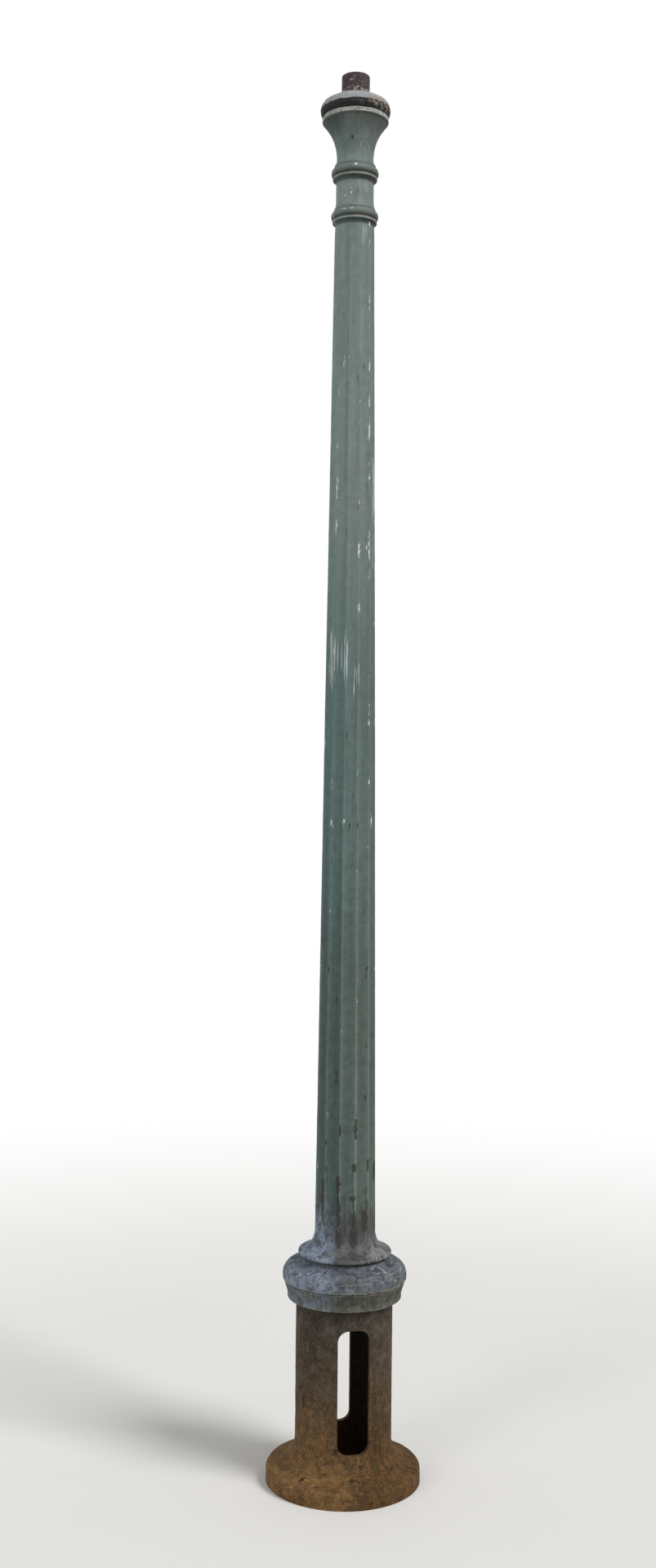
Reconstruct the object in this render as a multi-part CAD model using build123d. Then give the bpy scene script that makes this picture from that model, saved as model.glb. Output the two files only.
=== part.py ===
from build123d import *
from math import asin, ceil, cos, degrees, pi, radians, sin, sqrt
import os

# Cast iron street lamp column on its own root flange, with no lantern.
# Millimetres. The origin is the centre of the flange's underside, +Z runs up the column,
# and the two cable slots of the root face -Y and +Y.

BAND_ANGLE = 22.5           # most degrees that one band of a round moulding turns through

# Root tube and foot flange
ROOT_R = 119.0
ROOT_WALL = 14.0
ROOT_H = 450.0              # from the ground face up to the skirt's lower edge
FLANGE_SPREAD = 71.0        # how far the flange stands out from the tube
FLANGE_RIM_H = 42.0
FLANGE_RIM_ROUND = 13.0     # rounding of its upper edge, inside which it sweeps up into the tube

# Cable slots, one at the front and one at the back
SLOT_W = 78.0
SLOT_SILL_H = 98.0          # from the ground face up to the slot
SLOT_HEAD_H = 51.0          # from the slot up to the skirt
SLOT_CORNER_R = 27.0

# Skirt, the moulded ring that stood at pavement level
SKIRT_FILLET_SPREAD = 21.0  # lowest moulding, an upright fillet, beyond the tube
SKIRT_FILLET_H = 13.0
SKIRT_HOLLOW_SPREAD = 10.0  # sloping moulding above it
SKIRT_HOLLOW_H = 30.0
SKIRT_QUIRK = 2.5           # groove under the roll
SKIRT_SPREAD = 34.5         # widest point of the roll, beyond the tube
SKIRT_ROLL_RADIUS = 33.0    # section radius of the roll
SKIRT_ROLL_TUCK = 16.0      # degrees that the roll turns under its widest point
SKIRT_SHOULDER_H = 13.0     # from the roll's top up to the seat
SKIRT_WALL = 14.0

# Foot of the shaft casting and its tail, which stands in the root casting's socket
FOOT_SPREAD = 41.7          # foot roll beyond the shaft
FOOT_ROLL_RADIUS = 6.5
FOOT_JOINT_H = 2.5          # open joint under the roll
FOOT_SEAT_SET_BACK = 13.0
FLARE_H = 35.5
FLARE_RADIUS = 38.0
FLARE_TOP_SPREAD = 2.7
TAIL_SET_IN = 11.3          # tail's outside, in from the shaft's
TAIL_LEN = 60.0
TAIL_WALL = 12.0
TAIL_CLEARANCE = 0.5
SOCKET_WALL = 14.0

# Fluted shaft
FLUTES = 12
FLUTE_TURN = 6.5            # degrees from the slots' middle round to the nearest flute edge
SHAFT_FOOT_R = 73.3         # half the width seen from the side
SHAFT_TOP_STEP = 1.2        # shaft's top beyond the plain neck above it
SHAFT_H = 2481.9
SHAFT_WALL = 14.0
ENTASIS = 1.1               # 1 is a straight taper, more is a fuller middle
FLUTE_DEPTH_FOOT = 3.4      # hollow of a flute below the straight line between its arrises
FLUTE_DEPTH_TOP = 0.4
FLUTE_RUN_OUT_FOOT = 26.0
FLUTE_RUN_OUT_TOP = 26.0
RUN_OUT_STEPS = 3           # sections through each run-out
MIDDLE_STEPS = 2            # sections through the shaft between them

# Bead rings and the plain neck between them
NECK_WALL = 12.8
NECK_PLAIN_H = 49.7
BEAD_SPREAD = 12.0          # bead beyond the neck
BEAD_UNDER_H = 4.0          # sloping underside
BEAD_FILLET_H = 5.0
BEAD_FILLET_SET_BACK = 3.6
BEAD_QUIRK = 1.3            # groove between the fillet and the roll
BEAD_ROLL_H = 20.0
BEAD_ROLL_DROP = 4.5        # how far the roll falls back at its upper and lower edge
BEAD_LISTEL_H = 8.0         # small fillet above the roll
BEAD_LISTEL_SET_BACK = 7.6
BEAD_LISTEL_STEP = 1.4      # its step back to the hollow above it
BEAD_EASE_H = 18.0          # hollow ease up to the neck

# Bell capital
WAIST_STEP = 1.4            # waist inside the neck
BELL_H = 85.2
BELL_RADIUS = 128.2         # section radius of its hollow curve
BELL_WALL = 12.0
LIP_UNDER_H = 4.5           # sloping underside of the lip
LIP_SPREAD = 4.0            # lip beyond the top of the hollow curve
LIP_H = 10.5                # its upright face
LIP_EDGE = 1.0

# Cap
CAP_JOINT_H = 1.5           # groove between the lip and the cap's roll
CAP_JOINT_SET_BACK = 1.5
CAP_SPREAD = 5.1            # cap's widest point beyond the lip
CAP_ROLL_RADIUS = 26.0
CAP_ROLL_TUCK = 38.5        # degrees that the roll turns under its widest point
CAP_WALL = 11.0
CAP_REGISTER_H = 8.0        # rim under the cap that drops into the bell
CAP_REGISTER_WALL = 8.0
CAP_REGISTER_CLEARANCE = 0.5

# Spigot that carried the lantern, a pipe with a shouldered shank
SPIGOT_R = 35.0
SPIGOT_H = 60.0
SPIGOT_BORE_R = 27.0
SPIGOT_EDGE = 1.5
SHANK_SHOULDER = 1.5        # the spigot beyond its shank, resting on the cap
SHANK_CLEARANCE = 0.3
SHANK_IN_NECK = 60.0        # length of shank held in the neck's socket
SHANK_END_GAP = 2.0
SOCKET_LEDGE = 2.0          # ledge under the shank

# Heights, from the ground up
SKIRT_ROLL_Z = (
    ROOT_H + SKIRT_FILLET_H + SKIRT_HOLLOW_H + SKIRT_QUIRK
    + SKIRT_ROLL_RADIUS * sin(radians(SKIRT_ROLL_TUCK))
)
SHOULDER_Z = SKIRT_ROLL_Z + SKIRT_ROLL_RADIUS
SEAT_Z = SHOULDER_Z + SKIRT_SHOULDER_H
FOOT_ROLL_Z = SEAT_Z + FOOT_JOINT_H + FOOT_ROLL_RADIUS
SHAFT_LOW_Z = FOOT_ROLL_Z + FOOT_ROLL_RADIUS + FLARE_H
SHAFT_TOP_Z = SHAFT_LOW_Z + SHAFT_H
BEAD_ROLL_LOW_H = BEAD_UNDER_H + BEAD_FILLET_H + BEAD_QUIRK
BEAD_H = BEAD_ROLL_LOW_H + BEAD_ROLL_H + BEAD_LISTEL_H + BEAD_EASE_H
NECK_LOW_Z = SHAFT_TOP_Z + BEAD_H
NECK_TOP_Z = NECK_LOW_Z + NECK_PLAIN_H
WAIST_Z = NECK_TOP_Z + BEAD_H
BELL_TOP_Z = WAIST_Z + BELL_H
CAP_Z = BELL_TOP_Z + LIP_UNDER_H + LIP_H
CAP_ROLL_Z = CAP_Z + CAP_JOINT_H + CAP_ROLL_RADIUS * sin(radians(CAP_ROLL_TUCK))
CROWN_Z = CAP_ROLL_Z + CAP_ROLL_RADIUS

# Radii that pieces share
SHANK_R = SPIGOT_R - SHANK_SHOULDER
SHANK_HOLE_R = SHANK_R + SHANK_CLEARANCE
NECK_R = SHANK_HOLE_R + NECK_WALL
SHAFT_TOP_R = NECK_R + SHAFT_TOP_STEP
WAIST_R = NECK_R - WAIST_STEP
LIP_R = WAIST_R + BELL_RADIUS - sqrt(BELL_RADIUS ** 2 - BELL_H ** 2) + LIP_SPREAD
MOUTH_R = LIP_R - BELL_WALL
CAP_R = LIP_R + CAP_SPREAD
FOOT_R = SHAFT_FOOT_R + FOOT_SPREAD
SEAT_R = FOOT_R - FOOT_SEAT_SET_BACK
TAIL_R = SHAFT_FOOT_R - TAIL_SET_IN
FLARE_TOP_R = SHAFT_FOOT_R + FLARE_TOP_SPREAD
FLANGE_R = ROOT_R + FLANGE_SPREAD
SKIRT_R = ROOT_R + SKIRT_SPREAD


def turned(outline):
    """Solid of revolution from a closed outline drawn as (radius, height)."""
    return revolve(Plane.XZ * make_face(outline), Axis.Z)


def banded(arc):
    """The arc as a chain of short cone bands, so that a turned moulding has a light mesh."""
    bands = ceil(arc.length / arc.radius / radians(BAND_ANGLE))
    return Polyline(*[arc @ (n / bands) for n in range(bands + 1)])


def roll(widest_r, middle_z, radius, tuck):
    """Rounded moulding, from a little under its widest point up to its top."""
    return banded(CenterArc((widest_r - radius, middle_z), radius, -tuck, 90 + tuck))


def flange_outline():
    """Rim with a rounded edge, and the hollow sweep up into the root tube."""
    sweep_radius = FLANGE_SPREAD - FLANGE_RIM_ROUND
    rim_low_z = FLANGE_RIM_H - FLANGE_RIM_ROUND
    sweep_end = (ROOT_R, FLANGE_RIM_H + sweep_radius)
    sweep_middle = (ROOT_R + sweep_radius, FLANGE_RIM_H + sweep_radius)
    return [
        Polyline((ROOT_R - ROOT_WALL, 0), (FLANGE_R, 0), (FLANGE_R, rim_low_z)),
        banded(CenterArc((FLANGE_R - FLANGE_RIM_ROUND, rim_low_z), FLANGE_RIM_ROUND, 0, 90)),
        banded(CenterArc(sweep_middle, sweep_radius, -90, -90)),
        Line(sweep_end, (ROOT_R, ROOT_H)),
    ]


def skirt_outline():
    """Fillet, sloping moulding, groove, roll and the shoulder up to the seat."""
    fillet_r = ROOT_R + SKIRT_FILLET_SPREAD
    hollow_r = fillet_r + SKIRT_HOLLOW_SPREAD
    hollow_z = ROOT_H + SKIRT_FILLET_H + SKIRT_HOLLOW_H
    big_roll = roll(SKIRT_R, SKIRT_ROLL_Z, SKIRT_ROLL_RADIUS, SKIRT_ROLL_TUCK)
    return [
        Polyline(
            (ROOT_R, ROOT_H),
            (fillet_r, ROOT_H),
            (fillet_r, ROOT_H + SKIRT_FILLET_H),
            (hollow_r, hollow_z),
            (hollow_r - SKIRT_QUIRK, hollow_z + SKIRT_QUIRK / 2),
            big_roll @ 0,
        ),
        big_roll,
        Line(big_roll @ 1, (SEAT_R, SEAT_Z)),
    ]


def root_casting():
    """Foot flange, slotted root tube and skirt in one hollow casting."""
    bore_r = ROOT_R - ROOT_WALL
    socket_r = TAIL_R + TAIL_CLEARANCE
    socket_out_r = socket_r + SOCKET_WALL
    socket_low_z = SEAT_Z - TAIL_LEN
    cavity_r = ROOT_R + SKIRT_FILLET_SPREAD - SKIRT_WALL
    shelf_z = ROOT_H + SKIRT_WALL
    ceiling_z = SHOULDER_Z - SKIRT_WALL
    inside = Polyline(
        (SEAT_R, SEAT_Z),
        (socket_r, SEAT_Z),
        (socket_r, socket_low_z),
        (socket_out_r, socket_low_z),
        (socket_out_r, ceiling_z),
        (cavity_r, ceiling_z),
        (cavity_r, shelf_z),
        (bore_r, shelf_z),
        (bore_r, 0),
    )
    casting = turned(flange_outline() + skirt_outline() + [inside])
    slot_h = ROOT_H - SLOT_SILL_H - SLOT_HEAD_H
    slot_middle_z = SLOT_SILL_H + slot_h / 2
    slot = Pos(0, slot_middle_z) * RectangleRounded(SLOT_W, slot_h, SLOT_CORNER_R)
    return casting - extrude(Plane.XZ * slot, amount=FLANGE_R, both=True)


def shaft_radius(z):
    """Half the shaft's width as seen from the side, with its slight entasis."""
    share = (z - SHAFT_LOW_Z) / SHAFT_H
    return SHAFT_FOOT_R - (SHAFT_FOOT_R - SHAFT_TOP_R) * share ** ENTASIS


def flute_share(z):
    """How fully the flutes are cut: not at all at their ends, rounded like a spoon, then full."""
    above_foot = (z - SHAFT_LOW_Z) / FLUTE_RUN_OUT_FOOT
    below_top = (SHAFT_TOP_Z - z) / FLUTE_RUN_OUT_TOP
    rise = min(above_foot, below_top, 1)
    return sqrt(1 - (1 - rise) ** 2)


def shaft_section(z, plain_r):
    """Section of arcs from arris to arris, which make a circle of plain_r where no flute is cut."""
    step = 2 * pi / FLUTES
    cut = flute_share(z)
    height_share = (z - SHAFT_LOW_Z) / SHAFT_H
    depth = FLUTE_DEPTH_FOOT + height_share * (FLUTE_DEPTH_TOP - FLUTE_DEPTH_FOOT)
    side_r = shaft_radius(z)
    arris_r = plain_r + cut * (side_r / cos(step / 2) - plain_r)
    hollow_r = plain_r + cut * (side_r - depth - plain_r)
    arcs = []
    for flute in range(FLUTES):
        turn = flute * step + radians(FLUTE_TURN)
        start = Vector(arris_r, 0).rotate(Axis.Z, degrees(turn))
        middle = Vector(hollow_r, 0).rotate(Axis.Z, degrees(turn + step / 2))
        end = Vector(arris_r, 0).rotate(Axis.Z, degrees(turn + step))
        arcs.append(ThreePointArc(start, middle, end))
    return Pos(0, 0, z) * make_face(arcs)


def fluted_shaft():
    """Tapering shaft whose flutes grow shallower upwards and run out at both ends."""
    low_steps = [FLUTE_RUN_OUT_FOOT * n / RUN_OUT_STEPS for n in range(RUN_OUT_STEPS + 1)]
    top_steps = [FLUTE_RUN_OUT_TOP * n / RUN_OUT_STEPS for n in range(RUN_OUT_STEPS + 1)]
    low_z = [SHAFT_LOW_Z + step for step in low_steps]
    top_z = [SHAFT_TOP_Z - step for step in reversed(top_steps)]
    between = (top_z[0] - low_z[-1]) / MIDDLE_STEPS
    middle_z = [low_z[-1] + between * n for n in range(1, MIDDLE_STEPS)]
    sections = [shaft_section(z, FLARE_TOP_R) for z in low_z]
    sections += [shaft_section(z, SHAFT_TOP_R) for z in middle_z + top_z]
    return loft(sections, ruled=True)


def shaft_foot():
    """Half-round roll and hollow flare that spread the shaft's foot over its seat."""
    roll_r = FOOT_R - FOOT_ROLL_RADIUS
    half_round = banded(CenterArc((roll_r, FOOT_ROLL_Z), FOOT_ROLL_RADIUS, -90, 180))
    flare_top = (FLARE_TOP_R, SHAFT_LOW_Z)
    outline = [
        Polyline((0, SHAFT_LOW_Z), (0, SEAT_Z), (SEAT_R, SEAT_Z), half_round @ 0),
        half_round,
        banded(RadiusArc(half_round @ 1, flare_top, FLARE_RADIUS)),
        Line(flare_top, (0, SHAFT_LOW_Z)),
    ]
    return turned(outline)


def bead_outline(low_z, below_r, above_r):
    """Bead ring: sloping underside, fillet, groove, roll, listel and the hollow ease above it."""
    bead_r = NECK_R + BEAD_SPREAD
    fillet_r = bead_r - BEAD_FILLET_SET_BACK
    fillet_z = low_z + BEAD_UNDER_H
    roll_z = low_z + BEAD_ROLL_LOW_H
    edge_r = bead_r - BEAD_ROLL_DROP
    listel_r = bead_r - BEAD_LISTEL_SET_BACK
    listel_z = roll_z + BEAD_ROLL_H
    ease_low = (listel_r - BEAD_LISTEL_STEP, listel_z + BEAD_LISTEL_H)
    bead_roll = ThreePointArc(
        (edge_r, roll_z),
        (bead_r, roll_z + BEAD_ROLL_H / 2),
        (edge_r, roll_z + BEAD_ROLL_H),
    )
    return [
        Polyline(
            (below_r, low_z),
            (fillet_r, fillet_z),
            (fillet_r, fillet_z + BEAD_FILLET_H),
            (fillet_r - BEAD_QUIRK, roll_z),
            (edge_r, roll_z),
        ),
        banded(bead_roll),
        Polyline(
            (edge_r, listel_z),
            (listel_r, listel_z),
            (listel_r, listel_z + BEAD_LISTEL_H),
            ease_low,
        ),
        TangentArc((above_r, low_z + BEAD_H), ease_low, tangent=(0, -1)),
    ]


def shaft_head():
    """Two bead rings round a plain neck, and the bell-shaped capital above them."""
    curve_angle = degrees(asin(BELL_H / BELL_RADIUS))
    bell = CenterArc((WAIST_R + BELL_RADIUS, WAIST_Z), BELL_RADIUS, 180, -curve_angle)
    outline = [
        Line((0, SHAFT_TOP_Z), (SHAFT_TOP_R, SHAFT_TOP_Z)),
        *bead_outline(SHAFT_TOP_Z, SHAFT_TOP_R, NECK_R),
        Line((NECK_R, NECK_LOW_Z), (NECK_R, NECK_TOP_Z)),
        *bead_outline(NECK_TOP_Z, NECK_R, WAIST_R),
        bell,
        Polyline(
            bell @ 1,
            (LIP_R, BELL_TOP_Z + LIP_UNDER_H),
            (LIP_R, CAP_Z - LIP_EDGE),
            (LIP_R - LIP_EDGE, CAP_Z),
            (0, CAP_Z),
            (0, SHAFT_TOP_Z),
        ),
    ]
    return turned(outline)


def shaft_bore():
    """Cored hollow from the tail up to the shank's socket and the open bell."""
    socket_low_z = WAIST_Z - SHANK_IN_NECK - SHANK_END_GAP
    bore_top_r = SHANK_HOLE_R - SOCKET_LEDGE
    mouth_low_z = CAP_Z - CAP_REGISTER_H - CAP_REGISTER_CLEARANCE
    outline = Polyline(
        (0, SEAT_Z - TAIL_LEN),
        (TAIL_R - TAIL_WALL, SEAT_Z - TAIL_LEN),
        (TAIL_R - TAIL_WALL, FOOT_ROLL_Z),
        (SHAFT_FOOT_R - SHAFT_WALL, SHAFT_LOW_Z),
        (bore_top_r, SHAFT_TOP_Z),
        (bore_top_r, socket_low_z),
        (SHANK_HOLE_R, socket_low_z),
        (SHANK_HOLE_R, WAIST_Z + BELL_H / 2),
        (MOUTH_R, mouth_low_z),
        (MOUTH_R, CAP_Z),
        (0, CAP_Z),
        close=True,
    )
    return turned(outline)


def shaft_casting():
    """Tail, foot, fluted shaft, beads and bell in one hollow casting."""
    tail = Pos(0, 0, SEAT_Z - TAIL_LEN) * extrude(Circle(TAIL_R), amount=TAIL_LEN)
    outside = tail + shaft_foot() + fluted_shaft() + shaft_head()
    return outside - shaft_bore()


def cap_ring():
    """Rounded hollow cap with a hole for the shank and a rim that drops into the bell."""
    register_r = MOUTH_R - CAP_REGISTER_CLEARANCE
    register_in_r = register_r - CAP_REGISTER_WALL
    joint_r = LIP_R - CAP_JOINT_SET_BACK
    big_roll = roll(CAP_R, CAP_ROLL_Z, CAP_ROLL_RADIUS, CAP_ROLL_TUCK)
    outline = [
        Polyline(
            (register_r, CAP_Z),
            (joint_r, CAP_Z),
            (joint_r, CAP_Z + CAP_JOINT_H),
            big_roll @ 0,
        ),
        big_roll,
        Polyline(
            big_roll @ 1,
            (SHANK_HOLE_R, CROWN_Z),
            (SHANK_HOLE_R, CROWN_Z - CAP_WALL),
            (register_in_r, CROWN_Z - CAP_WALL),
            (register_in_r, CAP_Z - CAP_REGISTER_H),
            (register_r, CAP_Z - CAP_REGISTER_H),
            (register_r, CAP_Z),
        ),
    ]
    return turned(outline)


def spigot():
    """Open pipe above the cap, shouldered down to a shank that stands in the neck."""
    shank_low_z = WAIST_Z - SHANK_IN_NECK
    top_z = CROWN_Z + SPIGOT_H
    outline = Polyline(
        (SPIGOT_BORE_R, shank_low_z),
        (SHANK_R, shank_low_z),
        (SHANK_R, CROWN_Z),
        (SPIGOT_R, CROWN_Z),
        (SPIGOT_R, top_z - SPIGOT_EDGE),
        (SPIGOT_R - SPIGOT_EDGE, top_z),
        (SPIGOT_BORE_R, top_z),
        close=True,
    )
    return turned(outline)


def main():
    os.makedirs("parts", exist_ok=True)
    nodes = {
        "root_casting": root_casting(),
        "shaft_casting": shaft_casting(),
        "cap_ring": cap_ring(),
        "spigot": spigot(),
    }
    for name, solid in nodes.items():
        export_step(solid, f"parts/{name}.step")


main()
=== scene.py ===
from math import atan2, ceil, cos, pi, radians, sin, tau

import bmesh
import bpy
import numpy as np
from mathutils import Matrix, Vector, noise


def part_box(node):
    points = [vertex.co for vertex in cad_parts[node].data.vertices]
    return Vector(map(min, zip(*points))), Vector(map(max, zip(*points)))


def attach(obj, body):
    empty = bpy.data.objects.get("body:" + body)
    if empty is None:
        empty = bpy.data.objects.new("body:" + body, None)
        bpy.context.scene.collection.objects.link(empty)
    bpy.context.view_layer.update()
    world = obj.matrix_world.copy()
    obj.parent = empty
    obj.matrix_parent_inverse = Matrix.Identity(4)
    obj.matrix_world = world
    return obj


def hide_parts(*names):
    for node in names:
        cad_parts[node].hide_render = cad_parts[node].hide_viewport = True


# Cast iron street lamp column: a rusty slotted root, a painted fluted shaft, a rusty cap and a
# pipe spigot. Metres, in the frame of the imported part. Each casting is rebuilt as a dense skin
# that is spun from the solid's own section and carries the wear of old cast iron.

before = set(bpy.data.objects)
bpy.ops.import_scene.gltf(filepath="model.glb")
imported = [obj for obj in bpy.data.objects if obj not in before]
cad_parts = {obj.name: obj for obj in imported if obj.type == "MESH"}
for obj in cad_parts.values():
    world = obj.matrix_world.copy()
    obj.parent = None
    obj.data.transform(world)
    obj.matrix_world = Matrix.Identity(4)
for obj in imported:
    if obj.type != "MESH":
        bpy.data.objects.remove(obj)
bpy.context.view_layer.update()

MM = 0.001

# Camera, from the photograph

IMAGE_W = 803
IMAGE_H = 1920
FOCAL_PX = 2000.0
CAMERA_DISTANCE = 4.024
CAMERA_HEIGHT = 1.712
VIEW_TURN = radians(12.4)       # the camera stands this far round from the slot's side
VIEW_BEARING = -pi / 2 - VIEW_TURN      # the direction from the post's axis to the camera
POST_X_PX = 427.5               # the post's axis where it crosses the horizon
HORIZON_Y_PX = 958.0
CAMERA_ROLL = radians(0.55)
SENSOR_MM = 36.0
CLIP_END = 200.0

# Directions fixed to the column: to its near side in the photograph, and to its right side
NEAR_SIDE = (-sin(VIEW_TURN), -cos(VIEW_TURN), 0)
RIGHT_SIDE = (cos(VIEW_TURN), -sin(VIEW_TURN), 0)

# Light

SKY_STRENGTH = 0.43
SUN_SPREAD = radians(22)
KEY_STRENGTH = 2.2
KEY_TURN = radians(58)          # to the camera's right
KEY_RISE = radians(44)
FILL_STRENGTH = 0.55
FILL_TURN = radians(-40)        # to the camera's left
FILL_RISE = radians(20)
FLOOR_HALF = 30.0
FLOOR_NEAR = 1.2                # the floor is plain this far out, and fades into the white room
FLOOR_FAR = 4.5

# Sizes and heights of the castings

FLUTES = 12
ARRIS_TURN = -pi / 2 + radians(6.5)     # the flute edge nearest to the front slot's middle
FLANGE_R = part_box("root_casting")[1].x
PIPE_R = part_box("spigot")[1].x
CAP_TOP_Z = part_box("cap_ring")[1].z
FOOT_FLAT_Z = 0.5 * MM          # the underside stays flat, so no relief below this
FLANGE_TOP_Z = 0.110            # the root is a plain tube from here to the skirt
ROOT_INSIDE_R = 0.108
SKIRT_Z = 0.450                 # the skirt's lower edge
SKIRT_INSIDE_Z = (0.460, 0.530)
SKIRT_INSIDE_R = 0.128
HOLLOW_TOP_Z = 0.493            # upper edge of the skirt's sloping moulding
SKIRT_ROLL_Z = 0.500
SEAT_Z = 0.5506                 # the shaft's foot rests on the root here
FLUTE_LOW_Z = 0.6016
FLUTE_TOP_Z = 3.0835
FLUTE_RUNOUT = 0.030            # the flutes run out over this much at both ends
WORN_FLUTES_Z = 1.0             # the flutes' points lie closer below this, for the chips of rust
BEAD_FILLETS_Z = ((3.0875, 3.0925), (3.1935, 3.1985))
LISTEL_EDGE_Z = 3.1215          # upper edge of the lower bead's listel
LIP_LOW_Z = 3.3355              # the upright face of the bell's lip
LIP_TOP_Z = 3.3460
# Radius inside which nothing of the shaft shows, at these heights
HIDDEN_Z = (0.602, 3.080, 3.260, 3.3375)
HIDDEN_R = (0.060, 0.036, 0.036, 0.0705)

SLOT_W = 78 * MM
SLOT_LOW_Z = 98 * MM
SLOT_TOP_Z = 399 * MM
SLOT_CORNER_R = 27 * MM
SLOT_CORNER_STEPS = 8

# Detail of the skins

CUT_TURN = radians(44.3)        # where a round casting is cut for its outline, clear of the slots
SAME_PLACE = 1e-6               # points closer together than this are one
STRAIGHT_TURN = radians(0.4)    # an outline's turn that is too small for a bend
CORNER_TURN = radians(33)       # and one that is large enough for a corner
WORN_TURN = radians(24)         # an outward turn that is worn bare
SHARP_TURN = radians(48)        # a turn between faces that shades as a sharp edge
CORNER_EASE = 0.7 * MM          # how far a cast corner is worn back
LARGEST_EASE = 0.3              # and at most this share of a short run
CORNER_CUTS = 3                 # rounds of corner cutting that smooth the banded mouldings
CUT_SHARE = 0.25                # each cuts this share off the shorter side of a bend
SAMPLE_STEP = 0.5 * MM
FACES_OUT = 0.5                 # a normal with more than this away from the axis is on the outside
# Painted shade under wider parts: how far above a point they count, and the overhang that gives
# full shade
UNDER_SHADE_REACH = 9 * MM
UNDER_SHADE_DEPTH = 9 * MM
UNDER_SHADE_BELOW = 0.9             # painted shade of a face that looks straight down

# Columns of points round each skin, and the spacing of the points along its outline
ROOT_COLUMNS = 252
COLUMNS_A_FLUTE = 12
CAP_COLUMNS = 240
PIPE_COLUMNS = 144
SKIRT_STEP = 1.8 * MM
FLANGE_STEP = 2.6 * MM
TUBE_STEP = 4.5 * MM
ROOT_INSIDE_STEP = 9 * MM
MOULDING_STEP = 1.4 * MM
WORN_FLUTE_STEP = 4 * MM
FLUTE_STEP = 12 * MM
SHAFT_INSIDE_STEP = 60 * MM
CAP_STEP = 1.6 * MM
PIPE_STEP = 2 * MM
SHANK_STEP = 30 * MM


# Outlines

def ray(turn):
    """Unit vector out from the axis, at an angle round it."""
    return Vector((cos(turn), sin(turn), 0))


def cut_outline(node, turn):
    """Closed outline, as (radius, height), of a node where a half-plane from the axis cuts it."""
    cut_mesh = bmesh.new()
    cut_mesh.from_mesh(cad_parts[node].data)
    bmesh.ops.remove_doubles(cut_mesh, verts=cut_mesh.verts, dist=SAME_PLACE)
    everything = cut_mesh.verts[:] + cut_mesh.edges[:] + cut_mesh.faces[:]
    across = ray(turn + pi / 2)
    cut = bmesh.ops.bisect_plane(
        cut_mesh, geom=everything, dist=SAME_PLACE, plane_co=(0, 0, 0), plane_no=across
    )
    out = ray(turn)
    edges = [item for item in cut["geom_cut"] if isinstance(item, bmesh.types.BMEdge)]
    edges = [edge for edge in edges if min(vert.co.dot(out) for vert in edge.verts) > 0]
    neighbours = {}
    for edge in edges:
        first, second = edge.verts
        neighbours.setdefault(first, []).append(second)
        neighbours.setdefault(second, []).append(first)
    start = min(neighbours, key=lambda vert: (vert.co.z, vert.co.dot(out)))
    chain = [start]
    current = neighbours[start][0]
    while current is not start:
        chain.append(current)
        onward = [vert for vert in neighbours[current] if vert is not chain[-2]]
        current = onward[0]
    points = [(vert.co.dot(out), vert.co.z) for vert in chain]
    cut_mesh.free()
    return counter_clockwise(np.array(points))


def counter_clockwise(points):
    """The outline turned so that its inside lies to the left."""
    after = np.roll(points, -1, axis=0)
    area = np.sum(points[:, 0] * after[:, 1] - after[:, 0] * points[:, 1])
    return points if area > 0 else points[::-1]


def turns(points):
    """Angle that a counter-clockwise outline turns at each point, over 0 where it juts out."""
    before = points - np.roll(points, 1, axis=0)
    after = np.roll(points, -1, axis=0) - points
    cross = before[:, 0] * after[:, 1] - before[:, 1] * after[:, 0]
    return np.arctan2(cross, np.sum(before * after, axis=1))


def without_straight_points(points):
    """The outline without points in the middle of a straight line."""
    return points[np.abs(turns(points)) > STRAIGHT_TURN]


def corner_cut(run):
    """A run between corners with each of its bends cut once, evenly to both sides."""
    cut = [run[0]]
    for before, bend, after in zip(run, run[1:], run[2:]):
        back = before - bend
        ahead = after - bend
        reach = min(np.linalg.norm(back), np.linalg.norm(ahead)) * CUT_SHARE
        cut.append(bend + back / np.linalg.norm(back) * reach)
        cut.append(bend + ahead / np.linalg.norm(ahead) * reach)
    cut.append(run[-1])
    return cut


def step_lengths(points):
    """Distance from each point of a run to the next."""
    return np.linalg.norm(np.diff(points, axis=0), axis=1)


def running_total(steps):
    """0, and then the sum of the steps up to each one."""
    return np.concatenate([[0], np.cumsum(steps)])


def resampled(points, total, place):
    """The run's points at the given places of its running total."""
    return np.column_stack([np.interp(place, total, points[:, axis]) for axis in (0, 1)])


def trimmed(run):
    """A finely sampled run, shortened at both ends to leave room for the eased corners."""
    points = np.array(run)
    total = running_total(step_lengths(points))
    ease = min(CORNER_EASE, total[-1] * LARGEST_EASE)
    count = max(2, ceil((total[-1] - 2 * ease) / SAMPLE_STEP) + 1)
    return resampled(points, total, np.linspace(ease, total[-1] - ease, count))


def spaced(points, step_at):
    """A run resampled with the spacing that step_at gives for each place."""
    middle = (points[1:] + points[:-1]) / 2
    steps = [length / step_at(*place) for length, place in zip(step_lengths(points), middle)]
    total = running_total(steps)
    count = max(2, ceil(total[-1]) + 1)
    return resampled(points, total, np.linspace(0, total[-1], count))


def eased_outline(points, step_at):
    """The outline with smooth mouldings, worn corners and evenly spaced points."""
    points = without_straight_points(points)
    corners = np.flatnonzero(np.abs(turns(points)) > CORNER_TURN)
    runs = []
    for start, end in zip(corners, np.roll(corners, -1)):
        last = end if end > start else end + len(points)
        run = [points[index % len(points)] for index in range(start, last + 1)]
        for _ in range(CORNER_CUTS):
            run = corner_cut(run)
        runs.append(spaced(trimmed(run), step_at))
    outline = []
    for index, run in enumerate(runs):
        outline.extend(run)
        corner = points[corners[(index + 1) % len(corners)]]
        following = runs[(index + 1) % len(runs)][0]
        outline.append((run[-1] + 2 * corner + following) / 4)
    return np.array(outline)


def outward(points):
    """Outward normals of a counter-clockwise outline."""
    along = np.roll(points, -1, axis=0) - np.roll(points, 1, axis=0)
    along /= np.linalg.norm(along, axis=1)[:, None]
    return np.column_stack([along[:, 1], -along[:, 0]])


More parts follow.
